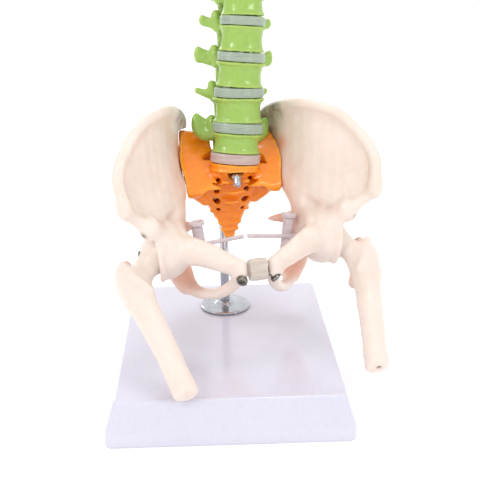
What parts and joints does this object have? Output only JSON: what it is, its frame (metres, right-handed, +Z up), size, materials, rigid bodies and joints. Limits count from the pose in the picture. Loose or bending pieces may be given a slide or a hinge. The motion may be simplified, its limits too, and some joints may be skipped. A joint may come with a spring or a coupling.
{
  "type": "human skeleton model",
  "caption": "Flexible coloured spinal column with pelvis and half femurs, turning on a chrome rod above a rectangular stand, for anatomy teaching.",
  "frame": {"origin": "centre of the stand's underside", "axes": "+Z up along the rod, -Y the way the stand's long side points and the figure faces, +X towards the figure's left hand"},
  "size_m": [0.1546, 0.1692, 0.4426],
  "materials": {
    "white_plastic": "glossy moulded white",
    "chrome": "polished",
    "bone": "satin cream with brown stain in the hollows",
    "sacrum_orange": "glossy orange",
    "vertebra_green": "glossy yellow green",
    "vertebra_yellow": "glossy yellow",
    "vertebra_blue": "glossy blue",
    "disc_grey": "soft translucent grey",
    "disc_pink": "soft translucent pinkish grey",
    "pad": "soft translucent grey beige",
    "nylon": "satin white nylon",
    "dark_steel": "plated",
    "black_washer": "black",
    "core_rubber": "soft"
  },
  "bodies": {
    "stand": {"base": "white_plastic", "flange": "chrome", "rod": "chrome"},
    "pelvis": {"sacrum": "sacrum_orange", "sacral_bolt": "dark_steel", "sacral_washer": "black_washer", "sacral_nut": "chrome", "hip_left": "bone", "hip_right": "bone", "symphysis_pad": "pad", "symphysis_screw_left": "dark_steel", "symphysis_screw_right": "dark_steel", "hip_axle_left": "nylon", "hip_axle_right": "nylon", "hip_anchor_left": "nylon", "hip_anchor_right": "nylon", "flexible_core": "core_rubber", "disc_L5_S1": "disc_pink"},
    "thigh_left": {"femur_left": "bone", "hip_screw_left": "dark_steel"},
    "thigh_right": {"femur_right": "bone", "hip_screw_right": "dark_steel"},
    "L5": {"vertebra_L5": "vertebra_green", "disc_L4_L5": "disc_grey"},
    "L4": {"vertebra_L4": "vertebra_green", "disc_L3_L4": "disc_grey"},
    "L3": {"vertebra_L3": "vertebra_green", "disc_L2_L3": "disc_grey"},
    "L2": {"vertebra_L2": "vertebra_green", "disc_L1_L2": "disc_grey"},
    "L1": {"vertebra_L1": "vertebra_green", "disc_T12_L1": "disc_grey"},
    "T12": {"vertebra_T12": "vertebra_yellow", "disc_T11_T12": "disc_grey"},
    "T11": {"vertebra_T11": "vertebra_yellow", "disc_T10_T11": "disc_grey"},
    "T10": {"vertebra_T10": "vertebra_yellow", "disc_T9_T10": "disc_grey"},
    "T9": {"vertebra_T9": "vertebra_yellow", "disc_T8_T9": "disc_grey"},
    "T8": {"vertebra_T8": "vertebra_yellow", "disc_T7_T8": "disc_grey"},
    "T7": {"vertebra_T7": "vertebra_yellow", "disc_T6_T7": "disc_grey"},
    "T6": {"vertebra_T6": "vertebra_yellow", "disc_T5_T6": "disc_grey"},
    "T5": {"vertebra_T5": "vertebra_yellow", "disc_T4_T5": "disc_grey"},
    "T4": {"vertebra_T4": "vertebra_yellow", "disc_T3_T4": "disc_grey"},
    "T3": {"vertebra_T3": "vertebra_yellow"},
    "T2": {"vertebra_T2": "vertebra_yellow"},
    "T1": {"vertebra_T1": "vertebra_yellow"},
    "C7": {"vertebra_C7": "vertebra_blue"},
    "C6": {"vertebra_C6": "vertebra_blue"},
    "C5": {"vertebra_C5": "vertebra_blue"},
    "C4": {"vertebra_C4": "vertebra_blue"},
    "C3": {"vertebra_C3": "vertebra_blue"},
    "C2": {"vertebra_C2": "vertebra_blue"},
    "C1": {"vertebra_C1": "vertebra_blue"}
  },
  "joints": [
    {"name": "figure_turn", "type": "hinge", "parent": "stand", "child": "pelvis", "pos_m": [0, 0.0415, 0.03], "axis": [0, 0, 1], "continuous": true},
    {"name": "hip_swing_left", "type": "hinge", "parent": "pelvis", "child": "thigh_left", "pos_m": [0.05959, 0.01067, 0.08], "axis": [-0.9715, -0.2154, 0.0995], "range_deg": [-12, 45]},
    {"name": "hip_swing_right", "type": "hinge", "parent": "pelvis", "child": "thigh_right", "pos_m": [-0.03609, -0.01055, 0.08], "axis": [-0.9715, -0.2154, -0.0995], "range_deg": [0, 45]},
    {"name": "bow_S1_L5", "type": "hinge", "parent": "pelvis", "child": "L5", "pos_m": [0.00742, 0.0242, 0.1245], "axis": [0.9721, 0.2056, -0.113], "range_deg": [-3, 4], "deforming": ["disc_L5_S1", "flexible_core"]},
    {"name": "lean_L5_L4", "type": "hinge", "parent": "L5", "child": "L4", "pos_m": [0.00904, 0.02608, 0.14182], "axis": [-0.2157, 0.9732, -0.0801], "range_deg": [-3.5, 3.5], "deforming": ["disc_L4_L5"]},
    {"name": "bow_L4_L3", "type": "hinge", "parent": "L4", "child": "L3", "pos_m": [0.00998, 0.02781, 0.16172], "axis": [0.9743, 0.2095, -0.0829], "range_deg": [-3, 4], "deforming": ["disc_L3_L4"]},
    {"name": "lean_L3_L2", "type": "hinge", "parent": "L3", "child": "L2", "pos_m": [0.0116, 0.0297, 0.18116], "axis": [-0.2156, 0.9724, -0.089], "range_deg": [-3.5, 3.5], "deforming": ["disc_L2_L3"]},
    {"name": "bow_L2_L1", "type": "hinge", "parent": "L2", "child": "L1", "pos_m": [0.01283, 0.032, 0.20059], "axis": [0.9756, 0.2082, -0.0697], "range_deg": [-3, 4], "deforming": ["disc_L1_L2"]},
    {"name": "lean_L1_T12", "type": "hinge", "parent": "L1", "child": "T12", "pos_m": [0.01328, 0.03463, 0.2194], "axis": [-0.2145, 0.9674, -0.1343], "range_deg": [-2.45, 2.45], "deforming": ["disc_T12_L1"]},
    {"name": "bow_T12_T11", "type": "hinge", "parent": "T12", "child": "T11", "pos_m": [0.01298, 0.03686, 0.23544], "axis": [0.9764, 0.216, -0.0032], "range_deg": [-2.1, 2.8], "deforming": ["disc_T11_T12"]},
    {"name": "lean_T11_T10", "type": "hinge", "parent": "T11", "child": "T10", "pos_m": [0.01244, 0.03895, 0.25089], "axis": [-0.2145, 0.9676, -0.1332], "range_deg": [-2.45, 2.45], "deforming": ["disc_T10_T11"]},
    {"name": "bow_T10_T9", "type": "hinge", "parent": "T10", "child": "T9", "pos_m": [0.01186, 0.04079, 0.26577], "axis": [0.9757, 0.2184, 0.0156], "range_deg": [-2.1, 2.8], "deforming": ["disc_T9_T10"]},
    {"name": "lean_T9_T8", "type": "hinge", "parent": "T9", "child": "T8", "pos_m": [0.01116, 0.04258, 0.28014], "axis": [-0.2148, 0.969, -0.1221], "range_deg": [-2.45, 2.45], "deforming": ["disc_T8_T9"]},
    {"name": "bow_T8_T7", "type": "hinge", "parent": "T8", "child": "T7", "pos_m": [0.01047, 0.04406, 0.29414], "axis": [0.9755, 0.2185, 0.0251], "range_deg": [-2.1, 2.8], "deforming": ["disc_T7_T8"]},
    {"name": "lean_T7_T6", "type": "hinge", "parent": "T7", "child": "T6", "pos_m": [0.00995, 0.04483, 0.30771], "axis": [-0.2163, 0.9756, -0.0374], "range_deg": [-2.45, 2.45], "deforming": ["disc_T6_T7"]},
    {"name": "bow_T6_T5", "type": "hinge", "parent": "T6", "child": "T5", "pos_m": [0.00958, 0.0449, 0.3208], "axis": [0.976, 0.216, 0.0271], "range_deg": [-2.1, 2.8], "deforming": ["disc_T5_T6"]},
    {"name": "lean_T5_T4", "type": "hinge", "parent": "T5", "child": "T4", "pos_m": [0.00934, 0.04433, 0.33348], "axis": [-0.2159, 0.974, 0.0679], "range_deg": [-2.45, 2.45], "deforming": ["disc_T4_T5"]},
    {"name": "bow_T4_T3", "type": "hinge", "parent": "T4", "child": "T3", "pos_m": [0.00927, 0.0431, 0.34572], "axis": [0.9767, 0.213, 0.0267], "range_deg": [-2.1, 2.8], "deforming": ["disc_T3_T4"]},
    {"name": "lean_T3_T2", "type": "hinge", "parent": "T3", "child": "T2", "pos_m": [0.00937, 0.04118, 0.35756], "axis": [-0.213, 0.9607, 0.1778], "range_deg": [-2.45, 2.45]},
    {"name": "bow_T2_T1", "type": "hinge", "parent": "T2", "child": "T1", "pos_m": [0.00957, 0.03888, 0.36893], "axis": [0.9771, 0.2114, 0.0247], "range_deg": [-2.1, 2.8]},
    {"name": "lean_T1_C7", "type": "hinge", "parent": "T1", "child": "C7", "pos_m": [0.00981, 0.03651, 0.37998], "axis": [-0.2109, 0.9511, 0.2255], "range_deg": [-4.2, 4.2]},
    {"name": "bow_C7_C6", "type": "hinge", "parent": "C7", "child": "C6", "pos_m": [0.01011, 0.03413, 0.38958], "axis": [0.9772, 0.2112, 0.0207], "range_deg": [-3.6, 4.8]},
    {"name": "lean_C6_C5", "type": "hinge", "parent": "C6", "child": "C5", "pos_m": [0.01044, 0.03178, 0.39857], "axis": [-0.2114, 0.9536, 0.2141], "range_deg": [-4.2, 4.2]},
    {"name": "bow_C5_C4", "type": "hinge", "parent": "C5", "child": "C4", "pos_m": [0.01068, 0.03022, 0.40753], "axis": [0.9765, 0.2154, 0.0061], "range_deg": [-3.6, 4.8]},
    {"name": "lean_C4_C3", "type": "hinge", "parent": "C4", "child": "C3", "pos_m": [0.01081, 0.02959, 0.4165], "axis": [-0.2163, 0.9756, 0.0378], "range_deg": [-4.2, 4.2]},
    {"name": "bow_C3_C2", "type": "hinge", "parent": "C3", "child": "C2", "pos_m": [0.01084, 0.02956, 0.4255], "axis": [0.9763, 0.2165, -0.0013], "range_deg": [-3.6, 4.8]},
    {"name": "head_turn_C2_C1", "type": "hinge", "parent": "C2", "child": "C1", "pos_m": [0.01069, 0.03022, 0.43748], "axis": [-0.0123, 0.0554, 0.9984], "range_deg": [-20, 20]}
  ],
  "couplings": [
    {"joint": "bow_L4_L3", "follows": "bow_S1_L5", "ratio": 1},
    {"joint": "lean_L3_L2", "follows": "lean_L5_L4", "ratio": 1},
    {"joint": "bow_L2_L1", "follows": "bow_S1_L5", "ratio": 1},
    {"joint": "lean_L1_T12", "follows": "lean_L5_L4", "ratio": 0.7},
    {"joint": "bow_T12_T11", "follows": "bow_S1_L5", "ratio": 0.7},
    {"joint": "lean_T11_T10", "follows": "lean_L5_L4", "ratio": 0.7},
    {"joint": "bow_T10_T9", "follows": "bow_S1_L5", "ratio": 0.7},
    {"joint": "lean_T9_T8", "follows": "lean_L5_L4", "ratio": 0.7},
    {"joint": "bow_T8_T7", "follows": "bow_S1_L5", "ratio": 0.7},
    {"joint": "lean_T7_T6", "follows": "lean_L5_L4", "ratio": 0.7},
    {"joint": "bow_T6_T5", "follows": "bow_S1_L5", "ratio": 0.7},
    {"joint": "lean_T5_T4", "follows": "lean_L5_L4", "ratio": 0.7},
    {"joint": "bow_T4_T3", "follows": "bow_S1_L5", "ratio": 0.7},
    {"joint": "lean_T3_T2", "follows": "lean_L5_L4", "ratio": 0.7},
    {"joint": "bow_T2_T1", "follows": "bow_S1_L5", "ratio": 0.7},
    {"joint": "lean_T1_C7", "follows": "lean_L5_L4", "ratio": 1.2},
    {"joint": "bow_C7_C6", "follows": "bow_S1_L5", "ratio": 1.2},
    {"joint": "lean_C6_C5", "follows": "lean_L5_L4", "ratio": 1.2},
    {"joint": "bow_C5_C4", "follows": "bow_S1_L5", "ratio": 1.2},
    {"joint": "lean_C4_C3", "follows": "lean_L5_L4", "ratio": 1.2},
    {"joint": "bow_C3_C2", "follows": "bow_S1_L5", "ratio": 1.2}
  ]
}
